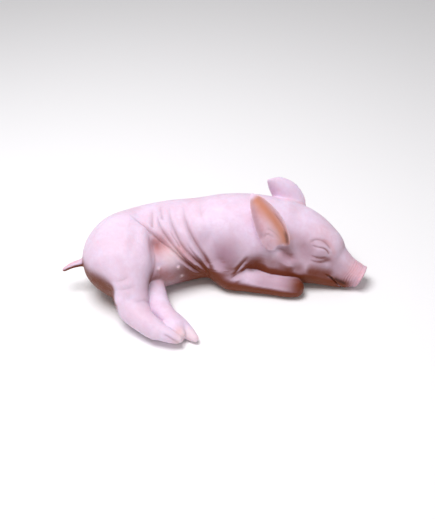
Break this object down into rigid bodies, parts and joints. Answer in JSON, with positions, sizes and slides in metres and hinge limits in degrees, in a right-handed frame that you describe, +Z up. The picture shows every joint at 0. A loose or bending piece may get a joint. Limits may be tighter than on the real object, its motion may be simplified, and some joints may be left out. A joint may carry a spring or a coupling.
{
  "type": "raw whole suckling pig",
  "caption": "Whole raw suckling pig, pale pink and scalded clean, lying on its belly with folded forelegs, hind legs to one side, eyes shut and ears up.",
  "frame": {"origin": "middle of the footprint's bounding box, on the surface the pig lies on", "axes": "+X towards the snout, +Y towards the pig's left side, +Z up; the hind feet point towards -Y"},
  "size_m": [0.5192, 0.2848, 0.1686],
  "materials": {
    "skin": "soft satin, slightly moist"
  },
  "bodies": {
    "root": {"pig": "skin"}
  },
  "joints": []
}
